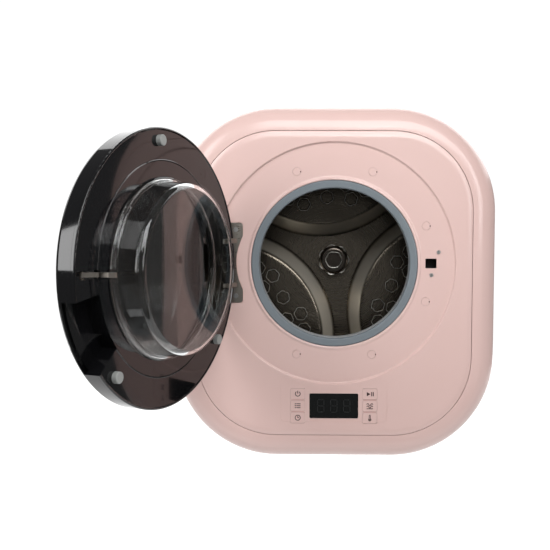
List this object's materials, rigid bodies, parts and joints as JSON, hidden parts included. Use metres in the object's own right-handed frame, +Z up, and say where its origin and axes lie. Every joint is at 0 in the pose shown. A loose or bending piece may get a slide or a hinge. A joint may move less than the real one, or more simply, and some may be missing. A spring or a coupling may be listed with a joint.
{
  "type": "wall-mounted washing machine",
  "caption": "Wall-hung mini front-loading washing machine with a round glass-bowl door on a side hinge, rubber mouth gasket, steel drum and a small display with push keys.",
  "frame": {"origin": "centre of the four wall bolts, on the wall's plane", "axes": "+Z up, +Y into the wall, so the door and the mouth face -Y; +X to the right as seen from the front"},
  "size_m": [0.6175, 0.6699, 0.634],
  "materials": {
    "pink_plastic": "glossy moulded plastic",
    "black_plastic": "piano gloss",
    "grey_gasket_rubber": "smooth",
    "light_rubber": "matt",
    "dark_rubber": "matt",
    "clear_bowl": "clear polycarbonate",
    "tinted_window": "tinted gloss",
    "drum_steel": "polished stainless",
    "fitting_steel": "brushed",
    "zinc_steel": "zinc plated",
    "cast_alloy": "as cast",
    "tub_plastic": "moulded",
    "white_plastic": "moulded",
    "board_green": "solder mask",
    "motor_paint": "satin"
  },
  "bodies": {
    "cabinet": {"cabinet_rim": "pink_plastic", "cabinet_shell": "pink_plastic", "rear_panel": "zinc_steel", "rear_screws": "zinc_steel", "wall_bushes": "dark_rubber", "front_panel": "pink_plastic", "screw_caps": "pink_plastic", "front_screws": "fitting_steel", "display_window": "tinted_window", "control_board": "board_green", "door_gasket": "grey_gasket_rubber", "gasket_clamp": "zinc_steel", "door_lock": "black_plastic", "hinge_leaf_body": "fitting_steel", "hinge_pin": "fitting_steel", "tub_front": "tub_plastic", "tub_rear": "tub_plastic", "tub_seal": "dark_rubber", "tub_bolts": "zinc_steel", "drum_bearings": "fitting_steel", "shaft_seal": "dark_rubber", "motor_body": "motor_paint", "drive_belt": "dark_rubber", "heater": "drum_steel", "detergent_box": "white_plastic", "inlet_valve": "white_plastic", "inlet_hose": "dark_rubber", "drain_pump_body": "white_plastic", "sump_hose": "dark_rubber", "drain_pipe": "dark_rubber", "power_board": "board_green", "mains_gland": "dark_rubber"},
    "drum": {"drum_shell": "drum_steel", "drum_back": "drum_steel", "drum_lifters": "drum_steel", "hub_cap": "drum_steel", "drum_spider": "cast_alloy", "drum_shaft": "fitting_steel", "drum_pulley": "cast_alloy"},
    "motor_rotor": {"motor_shaft": "fitting_steel", "motor_pulley": "cast_alloy"},
    "pump_rotor": {"pump_impeller": "white_plastic"},
    "door": {"door_frame_inner": "black_plastic", "door_cover_outer": "black_plastic", "door_window_outer": "tinted_window", "door_bowl": "clear_bowl", "bowl_ring": "tub_plastic", "door_bumpers": "light_rubber", "door_screws": "zinc_steel", "hinge_leaf_door": "fitting_steel", "latch_pin": "fitting_steel", "latch_spring": "fitting_steel"},
    "latch": {"latch_hook": "fitting_steel"},
    "lid": {"detergent_lid": "pink_plastic"},
    "power_button": {"power_key": "pink_plastic"},
    "program_button": {"program_key": "pink_plastic"},
    "delay_button": {"delay_key": "pink_plastic"},
    "start_button": {"start_key": "pink_plastic"},
    "rinse_button": {"rinse_key": "pink_plastic"},
    "heat_button": {"heat_key": "pink_plastic"}
  },
  "joints": [
    {"name": "door_hinge", "type": "hinge", "parent": "cabinet", "child": "door", "pos_m": [-0.186, -0.306, 0.0358], "axis": [0, 0, 1], "range_deg": [-13, 112]},
    {"name": "latch_pivot", "type": "hinge", "parent": "door", "child": "latch", "pos_m": [-0.3164, -0.63943, 0.035], "axis": [0, 0, 1], "range_deg": [0, 5], "stiffness_Nm_per_rad": 0.2, "springref_deg": -5.73},
    {"name": "drum_spin", "type": "hinge", "parent": "cabinet", "child": "drum", "pos_m": [0, -0.087, 0.035], "axis": [0, 1, 0], "continuous": true},
    {"name": "motor_spin", "type": "hinge", "parent": "cabinet", "child": "motor_rotor", "pos_m": [0.118, -0.087, -0.222], "axis": [0, 1, 0], "continuous": true},
    {"name": "pump_spin", "type": "hinge", "parent": "cabinet", "child": "pump_rotor", "pos_m": [-0.03, -0.127, -0.25], "axis": [0, 1, 0], "continuous": true},
    {"name": "lid_hinge", "type": "hinge", "parent": "cabinet", "child": "lid", "pos_m": [-0.058, -0.1226, 0.2985], "axis": [-1, 0, 0], "range_deg": [0, 95]},
    {"name": "power_key_press", "type": "slide", "parent": "cabinet", "child": "power_button", "axis": [0, 1, 0], "range_m": [0, 0.001], "stiffness_N_per_m": 300},
    {"name": "program_key_press", "type": "slide", "parent": "cabinet", "child": "program_button", "axis": [0, 1, 0], "range_m": [0, 0.001], "stiffness_N_per_m": 300},
    {"name": "delay_key_press", "type": "slide", "parent": "cabinet", "child": "delay_button", "axis": [0, 1, 0], "range_m": [0, 0.001], "stiffness_N_per_m": 300},
    {"name": "start_key_press", "type": "slide", "parent": "cabinet", "child": "start_button", "axis": [0, 1, 0], "range_m": [0, 0.001], "stiffness_N_per_m": 300},
    {"name": "rinse_key_press", "type": "slide", "parent": "cabinet", "child": "rinse_button", "axis": [0, 1, 0], "range_m": [0, 0.001], "stiffness_N_per_m": 300},
    {"name": "heat_key_press", "type": "slide", "parent": "cabinet", "child": "heat_button", "axis": [0, 1, 0], "range_m": [0, 0.001], "stiffness_N_per_m": 300}
  ],
  "couplings": [
    {"joint": "motor_spin", "follows": "drum_spin", "ratio": 9.1667}
  ]
}
